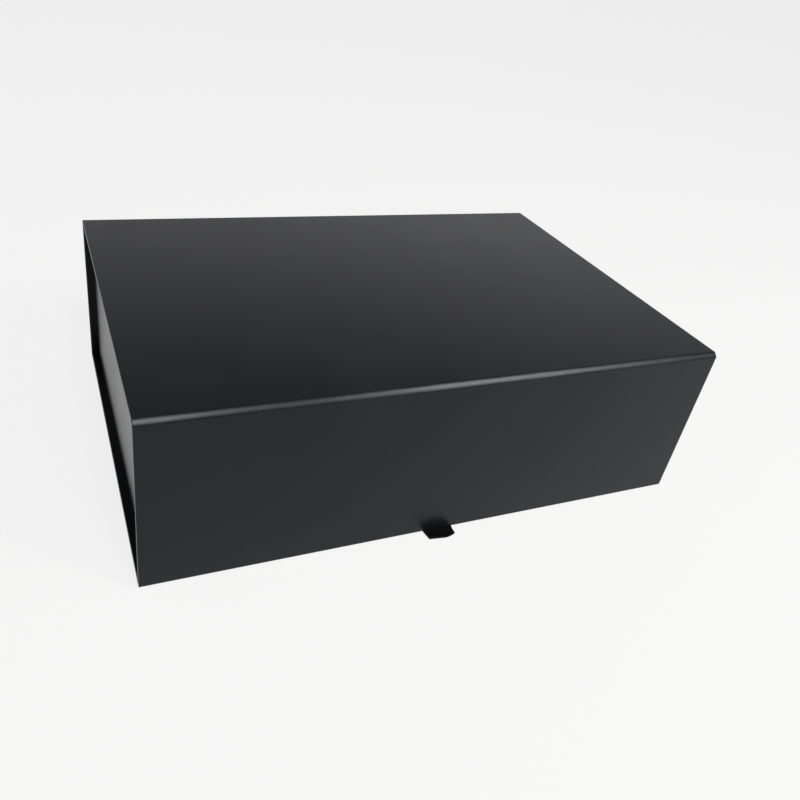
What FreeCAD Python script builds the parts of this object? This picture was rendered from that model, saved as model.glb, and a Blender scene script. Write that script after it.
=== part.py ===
import FreeCAD, Part
import math
import os
import re
import Sketcher

# A book-style gift box with a magnetic flap. Its case is paper over four greyboard panels: the
# base, the spine, the lid and the flap. The tray stands on the base and is glued to the spine.
# The lid turns at the crease above the spine, and the flap at the crease along the lid's front.
# Frame: +X along the flap, to the right for someone who faces it, -Y out of the flap, +Z up.
# The origin is the middle of the box's footprint, on the surface that it stands on.

doc = FreeCAD.newDocument("GiftBox")
sheet = doc.addObject("Spreadsheet::Sheet", "Sizes")

# Every size that can be chosen by itself, in millimetres and degrees
SIZES = (
    ("box_width", 343, "case, along the flap"),
    ("box_depth", 230, "case, from the flap's face to the spine's face"),
    ("box_height", 105, "case, from the table to the lid's top"),
    ("case_board", 2, "greyboard of the case"),
    ("tray_board", 2, "greyboard of the tray"),
    ("wrap_paper", 0.25, "covering paper with its glue"),
    ("liner_paper", 0.25, "lining paper with its glue"),
    ("turn_in", 15, "covering paper folded to the inside of a panel"),
    ("liner_margin", 3, "from a panel's edge to its lining"),
    ("crease", 3, "from a corner of the case to the boards beside it"),
    ("side_ledge", 5, "how far the case stands past each side of the tray"),
    ("flap_play", 0.5, "between the flap's lining and the tray"),
    ("lid_play", 0.3, "between the lid's lining and the tray's rim"),
    ("rim_turn_down", 20, "covering paper folded down inside the tray's rim"),
    ("liner_drop", 8, "from the tray's rim to the lining of its walls"),
    ("floor_turn_in", 12, "covering paper folded under the tray"),
    ("stay_leg", 12, "tape on each side of a tray corner"),
    ("stay_paper", 0.2, "tape at the tray's corners"),
    ("magnet_diameter", 15, "closure magnets"),
    ("magnet_thickness", 1.5, "closure magnets"),
    ("magnet_play", 0.1, "round each magnet in its pocket"),
    ("magnet_spread", 105, "from the middle of the box to each magnet"),
    ("magnet_rise", 22, "from the flap's bottom edge to the magnets' middle"),
    ("ribbon_width", 19, "pull tab"),
    ("ribbon_layer", 0.3, "one of the pull tab's two layers"),
    ("ribbon_play", 0.2, "above and below the ribbon where it passes under the flap"),
    ("ribbon_side_play", 0.2, "beside the ribbon in the flap's recess"),
    ("ribbon_tail", 14, "ribbon glued inside the flap"),
    ("ribbon_reach", 2, "straight ribbon in front of the flap"),
    ("ribbon_curl_radius", 11, "middle of the ribbon where it curls up off the table"),
    ("ribbon_curl", 28, "angle that the ribbon curls up by"),
    ("ribbon_tip", 1, "straight ribbon after the curl"),
)

# Places worked out from those sizes. An x place is used with both signs
PLACES = {
    "side": "box_width / 2",
    "front": "-box_depth / 2",
    "back": "box_depth / 2",
    "panel": "case_board + 2 * wrap_paper",
    "lined_panel": "panel + liner_paper",
    "board_side": "side - wrap_paper",
    "inside_turn_in": "side - turn_in",
    "liner_side": "side - liner_margin",
    "liner_step": "inside_turn_in - liner_paper",
    "front_crease": "front + crease",
    "back_crease": "back - crease",
    "top_crease": "box_height - crease",
    "ribbon_fold": "2 * ribbon_layer",
    "flap_bottom": "ribbon_fold + 2 * ribbon_play",
    "flap_inside": "front + panel",
    "tray_side": "side - side_ledge",
    "tray_front": "front + lined_panel + flap_play",
    "tray_back": "back - panel",
    "tray_bottom": "panel",
    "tray_rim": "box_height - lined_panel - lid_play",
    "wall_side": "tray_side - wrap_paper",
    "wall_front": "tray_front + wrap_paper",
    "wall_back": "tray_back - wrap_paper",
    "wall_bottom": "tray_bottom + wrap_paper",
    "wall_top": "tray_rim - wrap_paper",
    "floor_top": "wall_bottom + tray_board",
    "turn_down_bottom": "tray_rim - rim_turn_down",
}


def at(words):
    """A size or place written in those names, as an expression on the sheet's cells."""

    def cells(name):
        inner = PLACES.get(name[0])
        return f"({at(inner)})" if inner else f"Sizes.{name[0]}"

    return re.sub(r"[a-z_]+", cells, words)


def fill_sheet():
    for row, (name, value, meaning) in enumerate(SIZES, 1):
        sheet.set(f"A{row}", meaning)
        sheet.set(f"B{row}", str(value))
        sheet.setAlias(f"B{row}", name)
    doc.recompute()


def new_body(label):
    body = doc.addObject("PartDesign::Body", label)
    body.Label = label
    return body


def new_sketch(body, plane, level):
    """A sketch on one of the body's own planes, moved along that plane's normal to a level."""
    sketch = body.newObject("Sketcher::SketchObject", f"{body.Label}_sketch")
    planes = {feature.Role: feature for feature in body.Origin.OriginFeatures}
    sketch.AttachmentSupport = [(planes[plane], "")]
    sketch.MapMode = "FlatFace"
    sketch.setExpression("AttachmentOffset.Base.z", at(level))
    return sketch


def pin(sketch, line, end, place):
    """Holds one end of a line at a place, given as the texts of its two distances."""
    for kind, distance in zip(("DistanceX", "DistanceY"), place):
        number = sketch.addConstraint(Sketcher.Constraint(kind, -1, 1, line, end, 1.0))
        sketch.setExpression(f"Constraints[{number}]", at(distance))


def draw_outline(sketch, corners):
    """A closed outline of straight lines. It starts as a regular shape that the sizes then pull."""
    first = sketch.GeometryCount
    count = len(corners)
    turns = [2 * math.pi * n / count for n in range(count + 1)]
    points = [FreeCAD.Vector(math.cos(turn), math.sin(turn), 0) for turn in turns]
    for start, end in zip(points, points[1:]):
        sketch.addGeometry(Part.LineSegment(start, end))
    for n in range(count):
        meet = Sketcher.Constraint("Coincident", first + n, 2, first + (n + 1) % count, 1)
        sketch.addConstraint(meet)
    for n, corner in enumerate(corners):
        pin(sketch, first + n, 1, corner)


def draw_circle(sketch, centre, diameter):
    number = sketch.addGeometry(Part.Circle(FreeCAD.Vector(0, 0, 0), FreeCAD.Vector(0, 0, 1), 1))
    pin(sketch, number, 3, centre)
    size = sketch.addConstraint(Sketcher.Constraint("Diameter", number, 2.0))
    sketch.setExpression(f"Constraints[{size}]", at(diameter))


def extrude(body, plane, low, high, outlines=(), circle=None, cut=False):
    """Adds or cuts the prism over outlines, or over a circle, from a low to a high level.

    Levels run along the plane's own axis. The normal of XZ_Plane points along -Y, so there the
    sketch lies at the high level and the prism reaches back to the low one.
    """
    level = f"-({high})" if plane == "XZ_Plane" else low
    sketch = new_sketch(body, plane, level)
    for outline in outlines:
        draw_outline(sketch, outline)
    if circle:
        draw_circle(sketch, *circle)
    kind = "Pocket" if cut else "Pad"
    before = body.Shape.Volume if cut else 0
    feature = body.newObject(f"PartDesign::{kind}", f"{body.Label}_{kind.lower()}")
    feature.Profile = sketch
    feature.Reversed = cut
    feature.setExpression("Length", at(f"({high}) - ({low})"))
    doc.recompute()
    if cut and not feature.Shape.Volume < before:
        raise ValueError(f"{feature.Label} cuts nothing")


def mirrored(points):
    """The same points with their x on the other side, in the opposite order."""
    return [(f"-({x})", other) for x, other in reversed(points)]


def both_sides(points):
    """A closed outline of points on the right and their mirrors on the left."""
    return points + mirrored(points)


def across(place, low, high):
    """A rectangle from one x place to its mirror."""
    return both_sides([(place, low), (place, high)])


# The boards of the case, cut short of the corners by the crease
def make_case_boards():
    base = new_body("base_board")
    outline = across("board_side", "wall_front", "back_crease")
    extrude(base, "XY_Plane", "wrap_paper", "wrap_paper + case_board", [outline])

    spine = new_body("spine_board")
    outline = across("board_side", "back - wrap_paper - case_board", "back - wrap_paper")
    extrude(spine, "XY_Plane", "crease", "top_crease", [outline])

    lid = new_body("lid_board")
    outline = across("board_side", "front_crease", "back_crease")
    top = "box_height - wrap_paper"
    extrude(lid, "XY_Plane", f"{top} - case_board", top, [outline])

    flap = new_body("flap_board")
    outline = across("board_side", "flap_bottom + wrap_paper", "top_crease")
    inner_face = "front + wrap_paper + case_board"
    extrude(flap, "XZ_Plane", "front + wrap_paper", inner_face, [outline])
    cut_ribbon_recess(flap)
    cut_magnet_pockets(flap, f"{inner_face} - magnet_thickness", inner_face)


def magnet_centre(side):
    return f"{side}magnet_spread", "flap_bottom + magnet_rise"


def cut_magnet_pockets(body, low, high):
    for side in ("-", ""):
        pocket = (magnet_centre(side), "magnet_diameter + 2 * magnet_play")
        extrude(body, "XZ_Plane", low, high, circle=pocket, cut=True)


def cut_ribbon_recess(body):
    """The shallow recess inside the flap that takes the ribbon's tail."""
    top = "flap_bottom + ribbon_tail + ribbon_side_play"
    outline = across("ribbon_width / 2 + ribbon_side_play", "flap_bottom", top)
    extrude(body, "XZ_Plane", "flap_inside - ribbon_fold", "flap_inside", [outline], cut=True)


# The covering paper: a sheet over the outside of each board, over its free edges and turned in
def make_case_wraps():
    base = new_body("base_wrap")
    outline = across("side", "tray_front", "back_crease")
    extrude(base, "XY_Plane", "0", "panel", [outline])
    outline = across("board_side", "wall_front", "back_crease")
    extrude(base, "XY_Plane", "wrap_paper", "wrap_paper + case_board", [outline], cut=True)
    outline = across("inside_turn_in", "tray_front + turn_in", "back_crease")
    extrude(base, "XY_Plane", "wrap_paper + case_board", "panel", [outline], cut=True)

    spine = new_body("spine_wrap")
    section = wrap_section("back")
    extrude(spine, "XY_Plane", "crease", "top_crease", [section])

    lid = new_body("lid_wrap")
    section = wrap_section("box_height")
    extrude(lid, "XZ_Plane", "front_crease", "back_crease", [section])

    flap = new_body("flap_wrap")
    outline = across("side", "flap_bottom", "top_crease")
    extrude(flap, "XZ_Plane", "front", "flap_inside", [outline])
    outline = across("board_side", "flap_bottom + wrap_paper", "top_crease")
    board_face = "flap_inside - wrap_paper"
    extrude(flap, "XZ_Plane", "front + wrap_paper", board_face, [outline], cut=True)
    outline = across("inside_turn_in", "flap_bottom + turn_in", "top_crease")
    extrude(flap, "XZ_Plane", board_face, "flap_inside", [outline], cut=True)
    cut_ribbon_recess(flap)


def wrap_section(face):
    """The section of paper round a board: its outer sheet, two edges and two turn-ins."""
    inside = f"{face} - panel"
    under_paper = f"{face} - wrap_paper"
    under_board = f"{under_paper} - case_board"
    outer = [("inside_turn_in", inside), ("side", inside), ("side", face)]
    inner = [
        ("board_side", under_paper),
        ("board_side", under_board),
        ("inside_turn_in", under_board),
    ]
    return both_sides(outer) + mirrored(inner) + inner


# The lining paper, glued over the turn-ins and down onto the board inside them
def make_case_liners():
    lid = new_body("lid_liner")
    over_board = "box_height - wrap_paper - case_board"
    over_paper = f"{over_board} - wrap_paper"
    section = both_sides(
        [
            ("liner_step", f"{over_board} - liner_paper"),
            ("liner_step", f"{over_paper} - liner_paper"),
            ("liner_side", f"{over_paper} - liner_paper"),
            ("liner_side", over_paper),
            ("inside_turn_in", over_paper),
            ("inside_turn_in", over_board),
        ]
    )
    extrude(lid, "XZ_Plane", "front_crease", "back_crease", [section])

    flap = new_body("flap_liner")
    face = "flap_inside + liner_paper"
    board_face = "flap_inside - wrap_paper"
    outline = across("liner_side", "flap_bottom + liner_margin", "top_crease")
    extrude(flap, "XZ_Plane", "flap_inside", face, [outline])
    outline = across("inside_turn_in", "flap_bottom + turn_in", "top_crease")
    extrude(flap, "XZ_Plane", board_face, face, [outline])
    outline = across("liner_step", "flap_bottom + turn_in + liner_paper", "top_crease")
    extrude(flap, "XZ_Plane", f"{board_face} + liner_paper", face, [outline], cut=True)


def make_crease(label, y, z, turn, thickness):
    """A quarter round of paper along the box, about a line through y and z."""
    shapes = []
    for name, radius in (("outside", "crease"), ("inside", f"crease - ({thickness})")):
        quarter = doc.addObject("Part::Cylinder", f"{label}_{name}")
        quarter.Angle = 90
        quarter.setExpression("Radius", at(radius))
        quarter.setExpression("Height", at("box_width"))
        along_box = FreeCAD.Rotation(FreeCAD.Vector(1, 1, 1), 120)
        about_box = FreeCAD.Rotation(FreeCAD.Vector(1, 0, 0), turn)
        quarter.Placement.Rotation = about_box * along_box
        quarter.setExpression("Placement.Base.x", at("-side"))
        quarter.setExpression("Placement.Base.y", at(y))
        quarter.setExpression("Placement.Base.z", at(z))
        shapes.append(quarter)
    crease = doc.addObject("Part::Cut", label)
    crease.Label = label
    crease.Base, crease.Tool = shapes


# The rounded edges of the case. The two that bend are lined, and the lower one is not
def make_creases():
    lined = "wrap_paper + liner_paper"
    make_crease("lid_crease", "back_crease", "top_crease", 0, lined)
    make_crease("flap_crease", "front_crease", "top_crease", 90, lined)
    make_crease("base_crease", "back_crease", "crease", -90, "wrap_paper")


# The tray's boards: front and back run the whole width, and the sides stand between them
def make_tray_boards():
    floor = new_body("tray_floor_board")
    inside_front = "wall_front + tray_board"
    inside_back = "wall_back - tray_board"
    outline = across("wall_side - tray_board", inside_front, inside_back)
    extrude(floor, "XY_Plane", "wall_bottom", "floor_top", [outline])

    for label, outer, inwards in (
        ("tray_front_board", "wall_front", "+"),
        ("tray_back_board", "wall_back", "-"),
    ):
        wall = new_body(label)
        outline = both_sides(
            [
                ("wall_side - stay_leg", outer),
                ("wall_side - stay_leg", f"{outer} {inwards} stay_paper"),
                ("wall_side - stay_paper", f"{outer} {inwards} stay_paper"),
                ("wall_side - stay_paper", f"{outer} {inwards} tray_board"),
            ]
        )
        extrude(wall, "XY_Plane", "wall_bottom", "wall_top", [outline])

    for label, side in (("tray_left_board", "-"), ("tray_right_board", "")):
        wall = new_body(label)
        outer = f"{side}(wall_side)"
        taped = f"{side}(wall_side - stay_paper)"
        inner = f"{side}(wall_side - tray_board)"
        outline = [
            (taped, inside_front),
            (inner, inside_front),
            (inner, inside_back),
            (taped, inside_back),
            (taped, "wall_back - stay_leg"),
            (outer, "wall_back - stay_leg"),
            (outer, "wall_front + stay_leg"),
            (taped, "wall_front + stay_leg"),
        ]
        extrude(wall, "XY_Plane", "wall_bottom", "wall_top", [outline])

    front = doc.getObject("tray_front_board")
    cut_magnet_pockets(front, "wall_front", "wall_front + magnet_thickness")


# Paper tape round the four upright corners, pressed flush into the boards
def make_corner_stays():
    stays = new_body("corner_stays")
    corners = []
    for outer, inwards in (("wall_front", "+"), ("wall_back", "-")):
        corner = [
            ("wall_side - stay_leg", outer),
            ("wall_side", outer),
            ("wall_side", f"{outer} {inwards} stay_leg"),
            ("wall_side - stay_paper", f"{outer} {inwards} stay_leg"),
            ("wall_side - stay_paper", f"{outer} {inwards} stay_paper"),
            ("wall_side - stay_leg", f"{outer} {inwards} stay_paper"),
        ]
        corners += [corner, mirrored(corner)]
    extrude(stays, "XY_Plane", "wall_bottom", "wall_top", corners)


def ring(inset):
    """A rectangle inside the tray's walls, moved in from their outer faces."""
    return across(f"wall_side - ({inset})", f"wall_front + ({inset})", f"wall_back - ({inset})")


# The tray's covering paper runs under the floor's edge, up the walls, over the rim and down inside
def make_tray_wrap():
    wrap = new_body("tray_wrap")
    extrude(wrap, "XY_Plane", "tray_bottom", "tray_rim", [ring("-wrap_paper")])
    extrude(wrap, "XY_Plane", "wall_bottom", "wall_top", [ring("0")], cut=True)
    extrude(wrap, "XY_Plane", "tray_bottom", "wall_bottom", [ring("floor_turn_in")], cut=True)
    inner_face = "tray_board + wrap_paper"
    extrude(wrap, "XY_Plane", "wall_top", "tray_rim", [ring(inner_face)], cut=True)
    turned_down = [ring("tray_board"), ring(inner_face)]
    extrude(wrap, "XY_Plane", "turn_down_bottom", "wall_top", turned_down)


# The tray's lining: a band round the walls that steps out over the turned-down paper, and a floor
def make_tray_liners():
    walls = new_body("tray_wall_liner")
    lower_face = "tray_board + liner_paper"
    upper_back = "tray_board + wrap_paper"
    upper_face = f"{upper_back} + liner_paper"
    step = "turn_down_bottom - liner_paper"
    extrude(walls, "XY_Plane", "floor_top", step, [ring("tray_board"), ring(lower_face)])
    extrude(walls, "XY_Plane", step, "turn_down_bottom", [ring("tray_board"), ring(upper_face)])
    upper_edge = "tray_rim - liner_drop"
    extrude(walls, "XY_Plane", "turn_down_bottom", upper_edge, [ring(upper_back), ring(upper_face)])

    floor = new_body("tray_floor_liner")
    extrude(floor, "XY_Plane", "floor_top", "floor_top + liner_paper", [ring(lower_face)])


# Disc magnets: flush in the flap board under its lining, and in the tray's front under its paper
def make_magnets():
    for panel, low, high in (
        ("flap", "flap_inside - wrap_paper - magnet_thickness", "flap_inside - wrap_paper"),
        ("tray", "wall_front", "wall_front + magnet_thickness"),
    ):
        for name, side in (("left", "-"), ("right", "")):
            magnet = new_body(f"{panel}_magnet_{name}")
            extrude(magnet, "XZ_Plane", low, high, circle=(magnet_centre(side), "magnet_diameter"))


# The pull tab: satin ribbon folded double. Its tail is glued in the flap's recess, and it comes
# down past the flap's bottom edge, bends forward under it, and its end lifts off the table
def make_ribbon():
    ribbon = new_body("ribbon_tab")
    path = new_sketch(ribbon, "YZ_Plane", "0")
    path.setExpression("AttachmentOffset.Base.x", at("front"))
    draw_ribbon_path(path)
    start = new_sketch(ribbon, "XY_Plane", "flap_bottom + ribbon_tail")
    draw_outline(start, across("ribbon_width / 2", "flap_inside - ribbon_fold", "flap_inside"))
    pipe = ribbon.newObject("PartDesign::AdditivePipe", "ribbon_tab_pipe")
    pipe.Profile = start
    pipe.Spine = path
    doc.recompute()


def draw_ribbon_path(path):
    """The ribbon's middle, seen from its right. Zero is below the flap's face, on the table.

    The lines and arcs start at rough places, and touch each other smoothly, end to end.
    """
    normal = FreeCAD.Vector(0, 0, 1)
    bend = Part.Circle(FreeCAD.Vector(1.8, 0.9, 0), normal, 0.4)
    curl = Part.Circle(FreeCAD.Vector(-2, 11.5, 0), normal, 11)
    tail, under_flap, run, curled, tip = path.addGeometry(
        [
            Part.LineSegment(FreeCAD.Vector(2.2, 15, 0), FreeCAD.Vector(2.2, 0.9, 0)),
            Part.ArcOfCircle(bend, 1.5 * math.pi, 2 * math.pi),
            Part.LineSegment(FreeCAD.Vector(1.8, 0.5, 0), FreeCAD.Vector(-2, 0.5, 0)),
            Part.ArcOfCircle(curl, 1.35 * math.pi, 1.5 * math.pi),
            Part.LineSegment(FreeCAD.Vector(-7.2, 1.8, 0), FreeCAD.Vector(-8, 2.3, 0)),
        ]
    )
    start, end = 1, 2
    for touching in (
        (tail, end, under_flap, end),
        (under_flap, start, run, start),
        (run, end, curled, end),
        (curled, start, tip, start),
    ):
        path.addConstraint(Sketcher.Constraint("Tangent", *touching))
    path.addConstraint(Sketcher.Constraint("Vertical", tail))
    path.addConstraint(Sketcher.Constraint("Horizontal", run))
    pin(path, tail, start, ("panel - ribbon_layer", "flap_bottom + ribbon_tail"))
    pin(path, run, end, ("-ribbon_reach", "ribbon_play + ribbon_layer"))
    for kind, line, rough, size in (
        ("Radius", under_flap, 0.4, "ribbon_layer + ribbon_play / 2"),
        ("Radius", curled, 11, "ribbon_curl_radius"),
        ("Angle", tip, 0.85 * math.pi, "180 - ribbon_curl"),
        ("Distance", tip, 1, "ribbon_tip"),
    ):
        number = path.addConstraint(Sketcher.Constraint(kind, line, rough))
        unit = "1 deg" if kind == "Angle" else "1 mm"
        path.setExpression(f"Constraints[{number}]", f"({at(size)}) * {unit}")


def check_and_write(subparts):
    """Writes each sub-part's solid, once every object in the document is sound."""
    doc.recompute()
    for thing in doc.Objects:
        if {"Invalid", "Error"} & set(thing.State):
            raise ValueError(f"{thing.Label} is {thing.State}")
    for subpart in subparts:
        if subpart.Shape.isNull() or not subpart.Shape.isValid():
            raise ValueError(f"{subpart.Label} has no valid shape")
    os.makedirs("parts", exist_ok=True)
    for subpart in subparts:
        subpart.Shape.exportStep(f"parts/{subpart.Label}.step")
        print(f"{subpart.Label}: {len(subpart.Shape.Solids)} solids, {subpart.Shape.Volume:.1f} mm3")


fill_sheet()
make_case_boards()
make_case_wraps()
make_case_liners()
make_creases()
make_tray_boards()
make_corner_stays()
make_tray_wrap()
make_tray_liners()
make_magnets()
make_ribbon()
check_and_write([thing for thing in doc.Objects if thing.TypeId in ("PartDesign::Body", "Part::Cut")])
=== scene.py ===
import math

import bmesh
import bpy
from mathutils import Matrix, Vector, noise


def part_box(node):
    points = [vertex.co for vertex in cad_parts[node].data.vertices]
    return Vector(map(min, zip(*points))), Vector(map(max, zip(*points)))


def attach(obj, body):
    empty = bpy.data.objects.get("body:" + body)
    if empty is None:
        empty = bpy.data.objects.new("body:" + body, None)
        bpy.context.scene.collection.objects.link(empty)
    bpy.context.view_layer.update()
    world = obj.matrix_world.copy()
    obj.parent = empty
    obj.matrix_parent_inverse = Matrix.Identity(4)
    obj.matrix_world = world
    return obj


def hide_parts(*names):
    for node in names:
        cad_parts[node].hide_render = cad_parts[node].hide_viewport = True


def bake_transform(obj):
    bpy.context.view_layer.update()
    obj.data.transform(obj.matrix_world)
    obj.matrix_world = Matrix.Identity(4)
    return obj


# A black gift box that opens like a book: its case is paper over four greyboard panels, and a
# tray of taped boards is glued inside it.
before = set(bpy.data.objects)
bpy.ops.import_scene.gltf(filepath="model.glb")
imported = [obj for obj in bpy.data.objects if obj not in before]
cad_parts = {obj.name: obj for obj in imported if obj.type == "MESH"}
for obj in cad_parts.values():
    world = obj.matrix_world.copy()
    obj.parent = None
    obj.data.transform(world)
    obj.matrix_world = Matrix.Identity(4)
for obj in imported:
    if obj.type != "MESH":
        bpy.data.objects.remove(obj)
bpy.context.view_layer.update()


# Greyboard: grey recycled board, 2 mm thick, cut into the four case panels and the five parts of
# the tray. Paper covers all of it. Its pulp is mottled, and its face is slightly uneven.
MM = 0.001
MICRON = 1e-6


def new_material(name):
    """A material with one shader, and where each point is on the box."""
    material = bpy.data.materials.new(name)
    material.use_nodes = True
    nodes = material.node_tree.nodes
    place = nodes.new("ShaderNodeTexCoord").outputs["Object"]
    return material, nodes["Principled BSDF"], place


def mottle(place, grain, detail=3, stretch=(1, 1, 1)):
    """Soft random marks from 0 to 1. A grain is this many millimetres, times its stretch."""
    tree = place.id_data
    mapping = tree.nodes.new("ShaderNodeMapping")
    mapping.inputs["Scale"].default_value = [1 / (grain * MM * times) for times in stretch]
    marks = tree.nodes.new("ShaderNodeTexNoise")
    marks.inputs["Scale"].default_value = 1
    marks.inputs["Detail"].default_value = detail
    tree.links.new(place, mapping.inputs["Vector"])
    tree.links.new(mapping.outputs["Vector"], marks.inputs["Vector"])
    return marks.outputs["Fac"]


def colour(shader, marks, dark, pale, darkest=0.3, palest=0.7):
    """Colours a surface by its marks, from dark where they are lowest to pale where highest."""
    tree = shader.id_data
    ramp = tree.nodes.new("ShaderNodeValToRGB")
    first, last = ramp.color_ramp.elements
    first.position, first.color = darkest, (*dark, 1)
    last.position, last.color = palest, (*pale, 1)
    tree.links.new(marks, ramp.inputs["Fac"])
    tree.links.new(ramp.outputs["Color"], shader.inputs["Base Color"])


def roughen(shader, marks, low, high, lowest=0.25, highest=0.75):
    """Varies a surface's roughness by its marks, from low to high."""
    tree = shader.id_data
    scale = tree.nodes.new("ShaderNodeMapRange")
    scale.inputs["From Min"].default_value = lowest
    scale.inputs["From Max"].default_value = highest
    scale.inputs["To Min"].default_value = low
    scale.inputs["To Max"].default_value = high
    tree.links.new(marks, scale.inputs["Value"])
    tree.links.new(scale.outputs["Result"], shader.inputs["Roughness"])


def emboss(shader, *layers):
    """Raises a surface by its marks. Each layer has marks and their height in micrometres."""
    tree = shader.id_data
    for marks, height in layers:
        bump = tree.nodes.new("ShaderNodeBump")
        bump.inputs["Distance"].default_value = height * MICRON
        if shader.inputs["Normal"].is_linked:
            below = shader.inputs["Normal"].links[0].from_socket
            tree.links.new(below, bump.inputs["Normal"])
        tree.links.new(marks, bump.inputs["Height"])
        tree.links.new(bump.outputs["Normal"], shader.inputs["Normal"])


def finish_nodes(material, names):
    """Gives a material to CAD nodes that stay."""
    for name in names:
        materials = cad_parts[name].data.materials
        materials.clear()
        materials.append(material)


greyboard, shader, place = new_material("greyboard")
pulp = mottle(place, grain=0.5, detail=5)
unevenness = mottle(place, grain=3)
colour(shader, pulp, dark=(0.19, 0.175, 0.155), pale=(0.33, 0.31, 0.28))
roughen(shader, pulp, low=0.85, high=0.95)
emboss(shader, (pulp, 30), (unevenness, 60))
finish_nodes(greyboard, [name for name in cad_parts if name.endswith("_board")])


# Corner tapes and magnets: brown gummed kraft tape holds the tray's walls together at the corners,
# under the paper. Four nickel-plated discs, pressed into the flap and the tray's front, hold the
# flap shut.
kraft, shader, place = new_material("kraft_tape")
fibres = mottle(place, grain=0.4, detail=4, stretch=(1, 1, 8))
colour(shader, fibres, dark=(0.3, 0.19, 0.1), pale=(0.5, 0.36, 0.22))
roughen(shader, fibres, low=0.6, high=0.75)
emboss(shader, (fibres, 15))
finish_nodes(kraft, ["corner_stays"])

nickel, shader, place = new_material("nickel_plate")
rubbed = mottle(place, grain=0.3, detail=4)
colour(shader, rubbed, dark=(0.56, 0.54, 0.5), pale=(0.68, 0.67, 0.63))
roughen(shader, rubbed, low=0.2, high=0.34)
shader.inputs["Metallic"].default_value = 1
emboss(shader, (rubbed, 3))
finish_nodes(nickel, [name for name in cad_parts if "magnet" in name])


# Base covering: black art paper with a satin-matt film, glued under the base board, folded round
# its front and side edges and 15 mm over its top. The tray stands on it, inside a narrow ledge.
satin, shader, place = new_material("black_satin_paper")
clouds = mottle(place, grain=45, detail=2)
peel = mottle(place, grain=2.2, detail=2)
tooth = mottle(place, grain=0.35)
colour(shader, clouds, dark=(0.0042, 0.0047, 0.0064), pale=(0.0056, 0.0061, 0.0082))
roughen(shader, clouds, low=0.29, high=0.34)
shader.inputs["IOR"].default_value = 1.31
shader.inputs["Specular Tint"].default_value = (0.945, 0.975, 1.085, 1)
emboss(shader, (tooth, 3), (peel, 4))


def span(node, axis):
    """Where a CAD node starts and ends along x, y or z."""
    return [round(corner["xyz".index(axis)] / MM, 3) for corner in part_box(node)]


# The case's right side, front, back and top. It's as wide to the left as to the right.
SIDE = span("base_wrap", "x")[1]
FRONT = span("flap_wrap", "y")[0]
BACK = span("spine_wrap", "y")[1]
TOP = span("lid_wrap", "z")[1]
BASE_FRONT = span("base_wrap", "y")[0]

# A panel is board between two layers of paper, and ends a crease's width short of each corner.
BOARD, PAPER = 2, 0.25
PANEL = BOARD + 2 * PAPER
CREASE = 3
TURN_IN = 15

# The radius of a fold, and how close to it the flat paper beside it has a point.
FOLD = 0.5
FLAT = 0.5


def quarter_turn(steps):
    """Angles from 0 to a right angle."""
    return [math.pi / 2 * n / steps for n in range(steps + 1)]


def rounded_path(corners, radius, steps=4):
    """Points along a bent line and the direction to the left of each. Each bend is an arc.

    A point close to each end of an arc keeps the shading of the flat paper beside it flat.
    """
    corners = [Vector(corner) for corner in corners]
    path = []
    for before, here, after in zip(corners, corners[1:], corners[2:]):
        inward, outward = (here - before).normalized(), (after - here).normalized()
        turn = outward.angle_signed(inward, 0)
        cut = radius * math.tan(abs(turn) / 2)
        side = math.copysign(radius, turn)
        centre = here - inward * cut + inward.orthogonal() * side
        if (here - before).length > 2 * (cut + FLAT):
            path.append((here - inward * (cut + FLAT), inward.orthogonal()))
        for n in range(steps + 1):
            left = Matrix.Rotation(turn * n / steps, 2) @ inward.orthogonal()
            path.append((centre - left * side, left))
        if (after - here).length > 2 * (cut + FLAT):
            path.append((here + outward * (cut + FLAT), outward.orthogonal()))
    first = (corners[1] - corners[0]).normalized().orthogonal()
    last = (corners[-1] - corners[-2]).normalized().orthogonal()
    return [(corners[0], first), *path, (corners[-1], last)]


def stations(start, end, step, extra=()):
    """Places from start to end, a step apart, and the extra ones that lie between them."""
    start, end = round(start, 4), round(end, 4)
    count = max(1, round(abs(end - start) / step))
    places = {round(start + (end - start) * n / count, 4) for n in range(count + 1)}
    places |= {round(place, 4) for place in extra}
    low, high = min(start, end), max(start, end)
    return sorted((place for place in places if low <= place <= high), reverse=start > end)


def flat_places(start, end, step, extra=()):
    """Places across a flat panel as shares of its end, with one close to each folded edge."""
    inside = [end - FLAT] if start == 0 else [start + FLAT, end - FLAT]
    return [place / end for place in stations(start, end, step, [*extra, *inside])]


def grid_faces(rows, columns, closed=False):
    """Faces between rows of points. A closed row joins its last point to its first."""
    reach = columns if closed else columns - 1
    return [
        (
            row * columns + column,
            row * columns + (column + 1) % columns,
            (row + 1) * columns + (column + 1) % columns,
            (row + 1) * columns + column,
        )
        for row in range(rows - 1)
        for column in range(reach)
    ]


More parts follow.
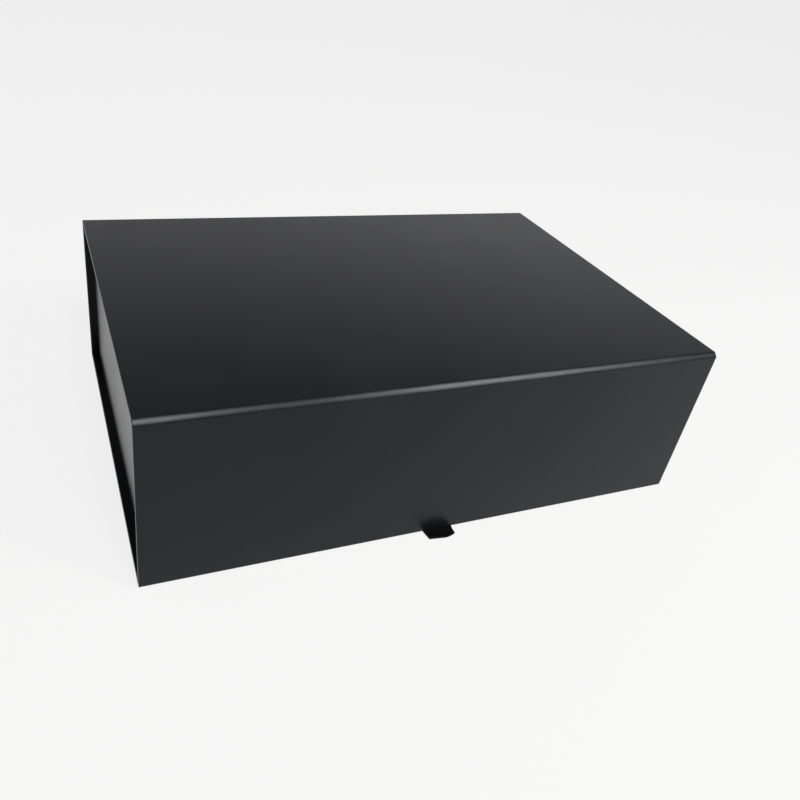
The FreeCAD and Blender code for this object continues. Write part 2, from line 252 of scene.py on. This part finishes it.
def sheet_piece(name, outer, inner, faces, material):
    """A sheet with a face on each side, and a cut edge along its open borders.

    Points of the outer side that share a place count as one, so only the sheet's ends are open.
    """
    first_at, same = {}, []
    for index, point in enumerate(outer):
        same.append(first_at.setdefault(tuple(round(x, 4) for x in point), index))
    whole = []
    for face in faces:
        ring = list(dict.fromkeys(same[index] for index in face))
        if len(ring) > 2:
            whole.append(ring)
    uses = {}
    for ring in whole:
        for a, b in zip(ring, ring[1:] + ring[:1]):
            uses.setdefault(frozenset((a, b)), []).append((a, b))
    count = len(outer)
    borders = [pairs[0] for pairs in uses.values() if len(pairs) == 1]
    under = [[index + count for index in reversed(ring)] for ring in whole]
    edges = [[b, a, a + count, b + count] for a, b in borders]
    mesh = bpy.data.meshes.new(name)
    points = [Vector(point) * MM for point in [*outer, *inner]]
    mesh.from_pydata(points, [], whole + under + edges)
    work = bmesh.new()
    work.from_mesh(mesh)
    loose = [vertex for vertex in work.verts if not vertex.link_faces]
    bmesh.ops.delete(work, geom=loose, context="VERTS")
    bmesh.ops.remove_doubles(work, verts=work.verts, dist=1e-8)
    bmesh.ops.recalc_face_normals(work, faces=work.faces)
    work.to_mesh(mesh)
    work.free()
    mesh.shade_smooth()
    mesh.set_sharp_from_angle(angle=math.radians(35))
    mesh.materials.append(material)
    piece = bpy.data.objects.new(name, mesh)
    bpy.context.scene.collection.objects.link(piece)
    return piece


def rim_line(length, depth, along, across):
    """The line round a panel's sides and far end, moved in from its edges by a depth."""
    inset = max(depth, FOLD)
    radius = max(FOLD - depth, 0)
    left = [(depth - SIDE, (length - inset) * share) for share in along]
    corner = [
        (inset - SIDE - radius * math.cos(turn), length - inset + radius * math.sin(turn))
        for turn in quarter_turn(4)
    ]
    far = [((SIDE - inset) * share, length - depth) for share in across]
    return left + corner + far + [(-x, v) for x, v in reversed(left + corner)]


def folded_panel(name, length, along, across, at, shape=None):
    """Paper round a panel's two sides and far end. at() puts (x, distance, depth) in place.

    shape() moves a point that lies at a depth under the paper's face.
    """
    side = rounded_path([(FOLD, 0), (0, 0), (0, PANEL), (2 * FOLD, PANEL)], FOLD)
    side += [(Vector((d, PANEL)), side[-1][1]) for d in stations(3 * FOLD, TURN_IN, step=0.9)]
    flat = [((SIDE - FOLD) * x, (length - FOLD) * v) for v in along for x in across]
    outer = [at(x, v, 0) for x, v in flat]
    inner = [at(x, v, PAPER) for x, v in flat]
    faces = grid_faces(len(along), len(across))
    first = len(flat)
    for point, left in side:
        under = point - left * PAPER
        outer += [at(x, v, point.y) for x, v in rim_line(length, point.x, along, across)]
        inner += [at(x, v, under.y) for x, v in rim_line(length, under.x, along, across)]
    columns = (len(outer) - first) // len(side)
    faces += [[first + index for index in face] for face in grid_faces(len(side), columns)]
    if shape:
        outer = [shape(point, 0) for point in outer]
        inner = [shape(point, PAPER) for point in inner]
    return sheet_piece(name, outer, inner, faces, satin)


base_length = BACK - CREASE - BASE_FRONT
base_cover = folded_panel(
    "base_cover",
    base_length,
    along=flat_places(0, base_length - FOLD, step=12),
    across=flat_places(-SIDE, SIDE, step=12),
    at=lambda x, v, depth: Vector((x, BACK - CREASE - v, depth)),
)
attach(base_cover, "tray")
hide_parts("base_wrap")


# Spine and lid coverings: the same sheet goes on over the spine board and the lid board. It's
# folded round both of their ends, and runs on through the creases above and below.
def folded_band(name, start, end, at):
    """Paper round a panel's two ends, from one crease to the next."""
    half = rounded_path([(TURN_IN - SIDE, PANEL), (-SIDE, PANEL), (-SIDE, 0), (0, 0)], FOLD)
    section = [(point, -left) for point, left in half[:-1]]
    face = stations(section[-1][0].x, 0, step=12)[1:]
    section += [(Vector((x, 0)), Vector((0, -1))) for x in face]
    section += [(Vector((-p.x, p.y)), Vector((-out.x, out.y))) for p, out in reversed(section)]
    places = stations(start, end, step=12)
    outer = [at(p.x, v, p.y) for v in places for p, out in section]
    under = [p - out * PAPER for p, out in section]
    inner = [at(p.x, v, p.y) for v in places for p in under]
    faces = grid_faces(len(places), len(section))
    return sheet_piece(name, outer, inner, faces, satin)


spine_cover = folded_band(
    "spine_cover",
    start=CREASE,
    end=TOP - CREASE,
    at=lambda x, v, depth: Vector((x, BACK - depth, v)),
)
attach(spine_cover, "tray")
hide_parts("spine_wrap")

lid_cover = folded_band(
    "lid_cover",
    start=FRONT + CREASE,
    end=BACK - CREASE,
    at=lambda x, v, depth: Vector((x, v, TOP - depth)),
)
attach(lid_cover, "lid")
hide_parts("lid_wrap")


# Flap covering: the end of the case's paper, down the front and folded round the flap's bottom and
# sides. The pull tab's tail is pressed into the folded-in paper at the middle.
FLAP_BOTTOM = span("flap_wrap", "z")[0]
FLAP_INSIDE = FRONT + PANEL
TAIL_SIDE, TAIL_TOP, TAIL_DEPTH = 9.7, 15.3, 0.6
SLOPE = 0.5


def press_tail(point, under):
    """Moves the inside of the paper back under the pull tab's tail, with a slope round it."""
    aside = (abs(point.x) - TAIL_SIDE) / SLOPE
    above = (point.z - TAIL_TOP) / SLOPE
    if aside < 1 and above < 1:
        share = 1 - max(aside, above, 0)
        pressed = FLAP_INSIDE - TAIL_DEPTH - under
        point.y += min(0, pressed - point.y) * share
    return point


def both_sides(places):
    """The places on the right, and the same ones on the left."""
    return [side * place for side in (-1, 1) for place in places]


flap_length = TOP - CREASE - FLAP_BOTTOM
slope_places = both_sides([TAIL_SIDE, TAIL_SIDE + SLOPE / 2, TAIL_SIDE + SLOPE])
flap_cover = folded_panel(
    "flap_cover",
    flap_length,
    along=flat_places(0, flap_length - FOLD, step=10),
    across=flat_places(-SIDE, SIDE, step=10, extra=slope_places),
    at=lambda x, v, depth: Vector((x, FRONT + depth, TOP - CREASE - v)),
    shape=press_tail,
)
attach(flap_cover, "flap")
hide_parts("flap_wrap")


# Linings of the lid and the flap: plain black uncoated paper, glued inside over the folded-in
# edges, which show through it as a low step. At each crease it turns over the board's edge. The
# flap's magnets show as faint discs.
lining, shader, place = new_material("black_lining_paper")
felt = mottle(place, grain=0.6, detail=5)
cast = mottle(place, grain=25, detail=2)
colour(shader, felt, dark=(0.0125, 0.0125, 0.013), pale=(0.021, 0.021, 0.0215))
roughen(shader, cast, low=0.71, high=0.77)
shader.inputs["IOR"].default_value = 1.4
emboss(shader, (felt, 14))

# A lining stays clear of the case's edges, and comes closer to them where it turns.
LINER_MARGIN, TURNED_MARGIN = 3, 0.3
LINER_SIDE = SIDE - LINER_MARGIN
LINER_FOLD = 0.3

# It starts to dip just before the edge of a folded-in paper, and lies on the board past it.
DIP_BEFORE, DIP_WIDTH = 0.1, 1.1

# Where the magnets are, and how large. Paper swells over each, and slopes down from the swell on
# both sides of the disc's edge.
MAGNET_X, MAGNET_Z, MAGNET_RADIUS = 105, 23, 7.5
SWELL, SLOPE_INSIDE, SLOPE_OUTSIDE = 0.07, 0.7, 0.9


def ease(value, low, high):
    """A smooth rise from 0 at low to 1 at high."""
    share = min(max((value - low) / (high - low), 0), 1)
    return share * share * (3 - 2 * share)


def around(middle, reach, gap):
    """A place and closer ones on both sides of it."""
    steps = round(reach / gap)
    return [middle + gap * n for n in range(-steps, steps + 1)]


def beyond_turn_in(inward):
    """0 on the folded-in paper and 1 past it, at a distance inward from the panel's edge."""
    start = TURN_IN - DIP_BEFORE
    return ease(inward, start, start + DIP_WIDTH)


def magnet_swell(x, z):
    """How far paper over a magnet stands up."""
    distance = math.hypot(abs(x) - MAGNET_X, z - MAGNET_Z)
    return SWELL * (1 - ease(distance, MAGNET_RADIUS - SLOPE_INSIDE, MAGNET_RADIUS + SLOPE_OUTSIDE))


def longest_run(path):
    """The number of the point where a path's longest straight run starts."""
    lengths = [(b[0] - a[0]).length for a, b in zip(path, path[1:])]
    return lengths.index(max(lengths))


def along_path(corners, step, extra=()):
    """A path with points along its longest run as well."""
    path = rounded_path(corners, LINER_FOLD)
    n = longest_run(path)
    (start, left), (end, _) = path[n], path[n + 1]
    run = [(Vector((v, start.y)), left) for v in stations(start.x, end.x, step, extra)]
    return path[:n] + run + path[n + 2 :]


def lining_piece(name, path, places, at, sunk):
    """Lining on the right of a path, with places across it. sunk() says how far it dips."""
    outer, inner = [], []
    for point, left in path:
        turned = abs(left.x)
        widen = 1 + (SIDE - TURNED_MARGIN - LINER_SIDE) / LINER_SIDE * turned
        for x in places:
            dip = sunk(x, point.x) * (1 - turned)
            for points, depth in ((outer, dip), (inner, dip + PAPER)):
                spot = point - left * depth
                points.append(at(x * widen, spot.x, spot.y))
    faces = grid_faces(len(path), len(places))
    return sheet_piece(name, outer, inner, faces, lining)


lid_front, lid_back = FRONT + CREASE, BACK - CREASE
lid_inside = TOP - PANEL
turn_in_close = both_sides(around(SIDE - TURN_IN, reach=1.2, gap=0.3))
lid_lining = lining_piece(
    "lid_lining",
    along_path(
        [
            (lid_back + PAPER, TOP - PAPER),
            (lid_back + PAPER, lid_inside - PAPER),
            (lid_front - PAPER, lid_inside - PAPER),
            (lid_front - PAPER, TOP - PAPER),
        ],
        step=12,
    ),
    stations(-LINER_SIDE, LINER_SIDE, step=12, extra=turn_in_close),
    at=lambda x, y, z: Vector((x, y, z)),
    sunk=lambda x, y: PAPER * beyond_turn_in(SIDE - abs(x)),
)
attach(lid_lining, "lid")
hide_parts("lid_liner")


def flap_dip(x, z):
    """How far the flap's lining dips. It swells where a magnet lies under it."""
    dip = PAPER * beyond_turn_in(SIDE - abs(x)) * beyond_turn_in(z - FLAP_BOTTOM)
    return dip - magnet_swell(x, z)


magnet_columns = both_sides(around(MAGNET_X, reach=9.5, gap=0.7))
magnet_rows = around(MAGNET_Z, reach=9.1, gap=0.7)
middle_of_dip = FLAP_BOTTOM + TURN_IN - DIP_BEFORE + DIP_WIDTH / 2
flap_lining = lining_piece(
    "flap_lining",
    along_path(
        [
            (FLAP_BOTTOM + LINER_MARGIN, FLAP_INSIDE + PAPER),
            (TOP - CREASE + PAPER, FLAP_INSIDE + PAPER),
            (TOP - CREASE + PAPER, FRONT + PAPER),
        ],
        step=10,
        extra=magnet_rows + around(middle_of_dip, reach=0.6, gap=0.3),
    ),
    stations(-LINER_SIDE, LINER_SIDE, step=12, extra=turn_in_close + magnet_columns),
    at=lambda x, z, y: Vector((x, y, z)),
    sunk=flap_dip,
)
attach(flap_lining, "flap")
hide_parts("flap_liner")


# Creases: between two panels the paper bridges a gap of about 4 mm, and nearly bevels the corner.
# The upper two are the hinges, with the lining glued behind them, which goes on over the spine
# board's end. Hand rubbing leaves the creases slightly uneven.

# The rounding of the folded edge at each side, and how wide the step is from the lining's edge to
# the two layers of covering past it.
EDGE_ROUND, EDGE_STEP = 0.25, 0.1

# A bevel of 1 is a round corner and 2 a straight cut. Along the crease it changes, and the paper
# moves in and out, in long waves and in short ones that count half as much.
BEVEL, BEVEL_CHANGE, MOVE = 1.62, 0.14, 0.05
LONG_WAVE, SHORT_WAVE, SHORT_SHARE = 30, 9, 0.5


def rubbing(x, z, out):
    """How unevenly a crease is rubbed at a place along it, about 0 on average."""
    slow = noise.noise((x / LONG_WAVE, z, out))
    return slow + SHORT_SHARE * noise.noise((x / SHORT_WAVE, z, 4 * out))


def crease_paper(name, y, z, out, up, ply, material=satin, slot="wrap"):
    """Paper from one panel to the next along the box, round a line through y and z.

    It bulges towards out along Y and towards up along Z, each 1 or -1. ply gives the papers' middle
    line, as a distance inside the corner, and how far this paper lies outside and inside it at x.
    """
    middle, outside, inside = ply
    half_width = LINER_SIDE if material is lining else SIDE
    ends = [half_width - EDGE_ROUND * (1 - math.cos(turn)) for turn in quarter_turn(4)]
    ends.append(half_width - 2 * EDGE_ROUND)
    if material is satin:
        ends += [LINER_SIDE, LINER_SIDE + EDGE_STEP]
    places = stations(EDGE_ROUND - half_width, half_width - EDGE_ROUND, step=2.5)
    places = sorted({*(-x for x in ends), *places, *ends})
    turns = quarter_turn(25)
    outer, inner = [], []
    for turn in turns:
        bend = math.sin(2 * turn)
        for x in places:
            slack = rubbing(x, z, out)
            bevel = BEVEL + BEVEL_CHANGE * slack
            past = max(0, abs(x) - half_width + EDGE_ROUND) / EDGE_ROUND
            thin = math.sqrt(max(0, 1 - past * past))
            spot = Vector((math.cos(turn) ** bevel, math.sin(turn) ** bevel))
            spot *= CREASE - middle
            away = Vector((math.cos(turn) ** (2 - bevel), math.sin(turn) ** (2 - bevel)))
            away.normalize()
            spot += away * MOVE * slack * bend
            for points, depth in ((outer, outside), (inner, -inside(x))):
                edge = spot + away * depth * thin
                points.append(Vector((x, y + out * edge.x, z + up * edge.y)))
    faces = grid_faces(len(turns), len(places))
    return sheet_piece(name, outer, inner, faces, material)


def hinge_papers(name, node, y, out, start, end):
    """The covering and the lining of a hinge on the lid. start and end are (y, z), and are not
    used.
    """
    cover = (PAPER, PAPER, lambda x: PAPER if abs(x) > LINER_SIDE else 0)
    behind = (PAPER, 0, lambda x: PAPER)
    at = (y, TOP - CREASE, out, 1)
    start, end = ((0, at_y * MM, at_z * MM) for at_y, at_z in (start, end))
    for piece in (
        crease_paper(name, *at, cover),
        crease_paper(name + "_lining", *at, behind, lining, "liner"),
    ):
        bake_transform(piece)
        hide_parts(node)


base_ply = (PAPER / 2, PAPER / 2, lambda x: PAPER / 2)
base_fold = crease_paper("base_fold", BACK - CREASE, CREASE, 1, -1, base_ply)
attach(base_fold, "tray")
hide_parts("base_crease")

# The lid turns past a half turn. On the real box the slack in its hinge's paper then bulges into
# the gutter; here the hinge is built only as it lies with the box shut.
HALF_BAND = 0.03
fold_y, fold_z = BACK - CREASE / 2, TOP - CREASE / 2
hinge_papers(
    "lid_fold",
    node="lid_crease",
    y=BACK - CREASE,
    out=1,
    start=(fold_y + HALF_BAND, fold_z - HALF_BAND),
    end=(fold_y - HALF_BAND, fold_z + HALF_BAND),
)
hinge_papers(
    "flap_fold",
    node="flap_crease",
    y=FRONT + CREASE,
    out=-1,
    start=(FRONT + CREASE, TOP),
    end=(FRONT, TOP - CREASE),
)

# The strip on the spine board's end covers the seam to the tray's rim too.
OVER_RIM = 0.4
spine_end = TOP - CREASE + PAPER
spine_edge = lining_piece(
    "spine_edge_lining",
    rounded_path([(spine_end, BACK - PAPER), (spine_end, BACK - PANEL - OVER_RIM)], 0),
    stations(-LINER_SIDE, LINER_SIDE, step=12),
    at=lambda x, z, y: Vector((x, y, z)),
    sunk=lambda x, z: 0,
)
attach(spine_edge, "tray")


# Tray covering: one strip of the satin paper round the tray, 12 mm under its floor, up the walls,
# over the rim and 20 mm down inside. Its folds meet in mitres at the corners.
TRAY_SIDE = span("tray_wrap", "x")[1]
TRAY_FRONT, TRAY_BACK = span("tray_wrap", "y")
TRAY_BOTTOM, RIM = span("tray_wrap", "z")
CORNER, WALL_FOLD = 0.7, 0.45
FLOOR_TURN_IN, TURN_DOWN = 12, 20


def tray_ring(depth, places_x, places_y):
    """A closed line round the tray, moved in from its outer faces by a depth.

    It goes over the back, the left, the front and the right, each after the corner before it.
    """
    inset, radius = max(depth, CORNER), max(CORNER - depth, 0)
    middle = (TRAY_FRONT + TRAY_BACK) / 2
    half_x, half_y = TRAY_SIDE - inset, (TRAY_BACK - TRAY_FRONT) / 2 - inset
    line = []
    for sign_x, sign_y in ((1, 1), (-1, 1), (-1, -1), (1, -1)):
        first = math.atan2(sign_y, sign_x) - math.pi / 4
        for turn in quarter_turn(5):
            x = sign_x * half_x + radius * math.cos(first + turn)
            y = sign_y * half_y + radius * math.sin(first + turn)
            line.append((x, middle + y))
        if sign_x == sign_y:
            y = middle + sign_y * (half_y + radius)
            line += [(-sign_y * share * half_x, y) for share in places_x]
        else:
            x = sign_x * (half_x + radius)
            line += [(x, middle + sign_x * share * half_y) for share in places_y]
    return line


def tray_sheet(name, profile, material, shape=None):
    """Paper round the tray, from a profile of outer (depth, height) and inner (depth, height)."""
    near = TRAY_SIDE - CORNER - FLAT
    places_x = [x / TRAY_SIDE for x in stations(-near, near, step=12, extra=magnet_columns)]
    half_y = (TRAY_BACK - TRAY_FRONT) / 2
    near = half_y - CORNER - FLAT
    places_y = [y / half_y for y in stations(-near, near, step=12)]
    outer, inner = [], []
    for rows in profile:
        for points, (depth, height) in zip((outer, inner), rows):
            ring = tray_ring(depth, places_x, places_y)
            points += [Vector((x, y, height)) for x, y in ring]
    if shape:
        outer = [shape(point) for point in outer]
    columns = len(outer) // len(profile)
    faces = grid_faces(len(profile), columns, closed=True)
    return sheet_piece(name, outer, inner, faces, material)


def show_magnets(point):
    """Moves the paper on the tray's front out where a magnet lies under it."""
    on_the_front = point.y < TRAY_FRONT + 0.01
    if on_the_front:
        point.y -= magnet_swell(point.x, point.z)
    return point


wall_path = rounded_path(
    [
        (FLOOR_TURN_IN, TRAY_BOTTOM),
        (0, TRAY_BOTTOM),
        (0, RIM),
        (PANEL, RIM),
        (PANEL, RIM - TURN_DOWN),
    ],
    WALL_FOLD,
)
clear = 2
split = longest_run(wall_path)
rise = stations(TRAY_BOTTOM + clear, RIM - clear, step=10, extra=magnet_rows)
up_the_wall = [(Vector((0, z)), wall_path[split][1]) for z in rise]
wall_path = wall_path[: split + 1] + up_the_wall + wall_path[split + 1 :]
tray_cover = tray_sheet(
    "tray_cover",
    [(point, point - left * PAPER) for point, left in wall_path],
    satin,
    show_magnets,
)
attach(tray_cover, "tray")
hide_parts("tray_wrap")


# Tray linings: a band of lining paper round the walls, from the floor to 8 mm below the rim, over
# the edge of the turned-down covering. A plain sheet of it covers the floor.
FLOOR_TOP, BAND_TOP = span("tray_wall_liner", "z")
step_at = RIM - TURN_DOWN
step_close = around(step_at - 0.5, reach=1, gap=0.25)
band = []
for z in stations(FLOOR_TOP, BAND_TOP, step=10, extra=step_close):
    behind = PANEL - PAPER + PAPER * ease(z, step_at - DIP_WIDTH, step_at)
    band.append(((behind + PAPER, z), (behind, z)))
wall_lining = tray_sheet("wall_lining", band, lining)
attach(wall_lining, "tray")
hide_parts("tray_wall_liner")
finish_nodes(lining, ["tray_floor_liner"])


# Pull tab: black satin ribbon, 19 mm wide, folded double. Both tails are glued inside the flap.
# The fold comes out under the flap's edge and lies forward on the table, its left side higher.
RIBBON_SIDE = 9.5
LAYER = 0.3

# A layer is a little thinner than its place, and thickens at its woven edges. These are full up
# to the first distance from the side, and end at the second.
THIN, THICKENING = 0.82, 0.15
EDGE_FULL, EDGE_END = 0.15, 0.5

# How high the tails end, how high the middle of the two layers lies, and the radius of the bend
# between.
TAIL_END, LIE = 15, 0.5
BEND = 0.4

# How far the fold comes forward, how much less towards the sides, and where its right corner
# rounds off. Places across are from 0 at the left edge to 1 at the right one.
REACH, SLANT, FURTHEST = 7.8, 2.2, 0.6
ROUNDING, ROUND_FROM = 13, 0.72

# How far the fold's middle rises, and how far its layers part at the left and at the right. They
# do so between two shares of the way to the fold.
LIFT, LOOP_LEFT, LOOP_RIGHT = 0.5, 0.3, 0.2
PART_FROM, PART_TO = 0.35, 0.95

# By what share the tab narrows, and how far it goes to the left, between two distances from the
# flap's inside.
NARROWING, ASIDE = 0.1, 0.2
SHIFT_FROM, SHIFT_TO = 0.5, 9

weave, shader, place = new_material("black_satin_ribbon")
cloth = weave.node_tree.nodes.new("ShaderNodeUVMap")
cloth.uv_map = "cloth"
warp = mottle(cloth.outputs["UV"], grain=0.12, detail=2, stretch=(1, 12, 1))
weft = mottle(cloth.outputs["UV"], grain=0.25, detail=2, stretch=(6, 1, 1))
colour(shader, warp, dark=(0.001, 0.001, 0.0012), pale=(0.0035, 0.0035, 0.004))
roughen(shader, warp, low=0.45, high=0.6)
shader.inputs["IOR"].default_value = 1.2
emboss(shader, (warp, 25), (weft, 12))


def ribbon_line(share, steps=14):
    """The ribbon's middle from its tails to its fold, and half the distance between its layers."""
    tail_y = FLAP_INSIDE - LAYER
    line = [Vector((tail_y, z)) for z in stations(TAIL_END, LIE + 2 * BEND, step=1.6)]
    bend = Vector((tail_y - BEND, LIE + BEND))
    line += [bend + BEND * Vector((math.cos(a), -math.sin(a))) for a in (0.2, 0.8, 1.3)]
    line += [Vector((y, LIE)) for y in stations(tail_y - 1.5 * BEND, FRONT, step=0.7)]
    gaps = [LAYER / 2] * len(line)
    reach = REACH - SLANT * abs(share - FURTHEST) - ROUNDING * max(0, share - ROUND_FROM) ** 2
    loop = LOOP_LEFT + (LOOP_RIGHT - LOOP_LEFT) * share
    for n in range(1, steps + 1):
        along = n / steps
        part = loop * ease(along, PART_FROM, PART_TO)
        line.append(Vector((FRONT - reach * along, LIE + part + LIFT * along * along)))
        gaps.append(LAYER / 2 + part)
    return line, gaps


def folded_double(line, gaps, steps=8):
    """A line folded back on itself, with one layer on each side, and the way out of each layer."""
    heads = [(b - a).normalized() for a, b in zip(line, line[1:])]
    heads = [heads[0], *[(a + b).normalized() for a, b in zip(heads, heads[1:])], heads[-1]]
    lefts = [Vector((-head.y, head.x)) for head in heads]
    there = [(point + left * gap, left) for point, left, gap in zip(line, lefts, gaps)]
    back = [(point - left * gap, -left) for point, left, gap in zip(line, lefts, gaps)]
    fold = []
    for n in range(1, steps):
        turn = math.pi * n / steps
        out = lefts[-1] * math.cos(turn) + heads[-1] * math.sin(turn)
        fold.append((line[-1] + out * gaps[-1], out))
    return there + fold + back[::-1]


outer, inner, on_cloth = [], [], []
edges_close = both_sides(around(RIBBON_SIDE, reach=0.6, gap=0.2))
across = stations(-RIBBON_SIDE, RIBBON_SIDE, step=0.95, extra=edges_close)
for x in across:
    woven_edge = 1 - ease(RIBBON_SIDE - abs(x), EDGE_FULL, EDGE_END)
    half_thickness = LAYER / 2 * (THIN + THICKENING * woven_edge)
    line = folded_double(*ribbon_line((x + RIBBON_SIDE) / (2 * RIBBON_SIDE)))
    length = 0
    for n, (point, out) in enumerate(line):
        length += (point - line[n - 1][0]).length if n else 0
        forward = ease(FLAP_INSIDE - point.x, SHIFT_FROM, SHIFT_TO)
        shown_x = x * (1 - NARROWING * forward) - ASIDE * forward
        outer.append(Vector((shown_x, *(point + out * half_thickness))))
        inner.append(Vector((shown_x, *(point - out * half_thickness))))
        on_cloth.append((x * MM, length * MM))
ribbon = sheet_piece("ribbon", outer, inner, grid_faces(len(across), len(line)), weave)
cut = ribbon.data.uv_layers.new(name="cloth")
for corner in ribbon.data.loops:
    cut.data[corner.index].uv = on_cloth[corner.vertex_index % len(on_cloth)]
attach(ribbon, "flap")
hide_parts("ribbon_tab")


# Studio: a pale floor, a dim room that is brighter behind the box and near the horizon, and soft
# lamps in front. The camera stands where the photograph was taken, at the front left corner.
FLOOR_REACH, FLOOR_DROP = 15, 1e-4
FLOOR_GLOW = 0.9
BOX_MIDDLE = (0, 0, 0.05)


def arithmetic(operation, first, second):
    """A sum or a product, kept from 0 to 1. first comes from a node, and second may be a number."""
    tree = first.id_data
    node = tree.nodes.new("ShaderNodeMath")
    node.operation = operation
    node.use_clamp = True
    tree.links.new(first, node.inputs[0])
    if isinstance(second, float):
        node.inputs[1].default_value = second
    else:
        tree.links.new(second, node.inputs[1])
    return node.outputs["Value"]


ground = bpy.data.meshes.new("ground")
ways = ((-1, -1), (1, -1), (1, 1), (-1, 1))
far_corners = [(x * FLOOR_REACH, y * FLOOR_REACH, -FLOOR_DROP) for x, y in ways]
ground.from_pydata(far_corners, [], [(0, 1, 2, 3)])
floor = bpy.data.objects.new("floor", ground)
bpy.context.scene.collection.objects.link(floor)

pale, shader, _ = new_material("pale_floor")
nodes, link = pale.node_tree.nodes, pale.node_tree.links.new
shader.inputs["Base Color"].default_value = (0.9, 0.9, 0.9, 1)
shader.inputs["Roughness"].default_value = 1
shader.inputs["Specular IOR Level"].default_value = 0
glow = nodes.new("ShaderNodeEmission")
glow.inputs["Color"].default_value = (0.913, 0.913, 0.913, 1)
rays = nodes.new("ShaderNodeLightPath").outputs
reflected = arithmetic("ADD", rays["Is Glossy Ray"], rays["Is Transmission Ray"])
seen = arithmetic("ADD", rays["Is Camera Ray"], reflected)
both = nodes.new("ShaderNodeMixShader")
link(arithmetic("MULTIPLY", seen, FLOOR_GLOW), both.inputs["Fac"])
link(shader.outputs["BSDF"], both.inputs[1])
link(glow.outputs["Emission"], both.inputs[2])
link(both.outputs["Shader"], nodes["Material Output"].inputs["Surface"])
ground.materials.append(pale)

room = bpy.data.worlds.new("room")
bpy.context.scene.world = room
room.use_nodes = True
nodes, link = room.node_tree.nodes, room.node_tree.links.new
direction = nodes.new("ShaderNodeTexCoord").outputs["Generated"]
parts = nodes.new("ShaderNodeSeparateXYZ")
link(direction, parts.inputs["Vector"])


def wall_light(height, levels):
    """The room's brightness by height, from the horizon at 0 to straight up at 1."""
    tree = height.id_data
    node = tree.nodes.new("ShaderNodeValToRGB")
    ramp = node.color_ramp
    for stop, (at, level) in enumerate(levels):
        element = ramp.elements[stop] if stop < 2 else ramp.elements.new(at)
        element.position, element.color = at, (level, level, level, 1)
    tree.links.new(height, node.inputs["Fac"])
    return node.outputs["Color"]


behind = ((0, 0.92), (0.25, 1), (0.35, 0.88), (0.45, 0.35), (0.56, 0.04), (0.8, 0.24), (1, 0.32))
in_front = ((0, 0.92), (0.12, 0.8), (0.25, 0.4), (0.35, 0.06), (0.6, 0.02), (0.8, 0.24), (1, 0.32))
backwards = nodes.new("ShaderNodeVectorMath")
backwards.operation = "DOT_PRODUCT"
backwards.inputs[1].default_value = (-0.3, 0.954, 0)
link(direction, backwards.inputs[0])
share_behind = nodes.new("ShaderNodeMapRange")
share_behind.interpolation_type = "SMOOTHSTEP"
share_behind.inputs["From Min"].default_value = -0.05
share_behind.inputs["From Max"].default_value = 0.6
link(backwards.outputs["Value"], share_behind.inputs["Value"])
walls = nodes.new("ShaderNodeMix")
walls.data_type = "RGBA"
link(share_behind.outputs["Result"], walls.inputs["Factor"])
link(wall_light(parts.outputs["Z"], in_front), walls.inputs["A"])
link(wall_light(parts.outputs["Z"], behind), walls.inputs["B"])
link(walls.outputs["Result"], nodes["Background"].inputs["Color"])


def soft_lamp(name, place, width, length, power):
    """A rectangular lamp that shines on the middle of the box."""
    light = bpy.data.lights.new(name, "AREA")
    light.shape = "RECTANGLE"
    light.size, light.size_y = width, length
    light.energy = power
    light.color = (1, 0.985, 0.95)
    lamp = bpy.data.objects.new(name, light)
    bpy.context.scene.collection.objects.link(lamp)
    lamp.location = place
    towards = Vector(BOX_MIDDLE) - Vector(place)
    lamp.rotation_euler = towards.to_track_quat("-Z", "Y").to_euler()


soft_lamp("front_lamp", (-0.065, -0.93, 1.288), width=0.25, length=0.5, power=12)
soft_lamp("lower_lamp", (0.728, -0.992, 0.982), width=0.5, length=0.7, power=6.5)
soft_lamp("right_lamp", (0.8, -0.8, 1.107), width=0.4, length=0.5, power=11)

camera_data = bpy.data.cameras.new("camera")
camera = bpy.data.objects.new("camera", camera_data)
bpy.context.scene.collection.objects.link(camera)
bpy.context.scene.camera = camera
camera_data.sensor_width = 36
camera_data.lens = 33.876
camera_data.shift_x, camera_data.shift_y = 0.0428, -0.0199
camera_data.clip_start, camera_data.clip_end = 0.01, 100
standpoint = (-0.202491, -0.386345, 0.307305)
right = (0.91701, -0.37535, 0.13491)
up = (0.10163, 0.54696, 0.83097)
back = (-0.38569, -0.7483, 0.53971)
turned = Matrix((right, up, back)).transposed().to_4x4()
camera.matrix_world = Matrix.Translation(standpoint) @ turned

bpy.context.scene.view_settings.view_transform = "Standard"
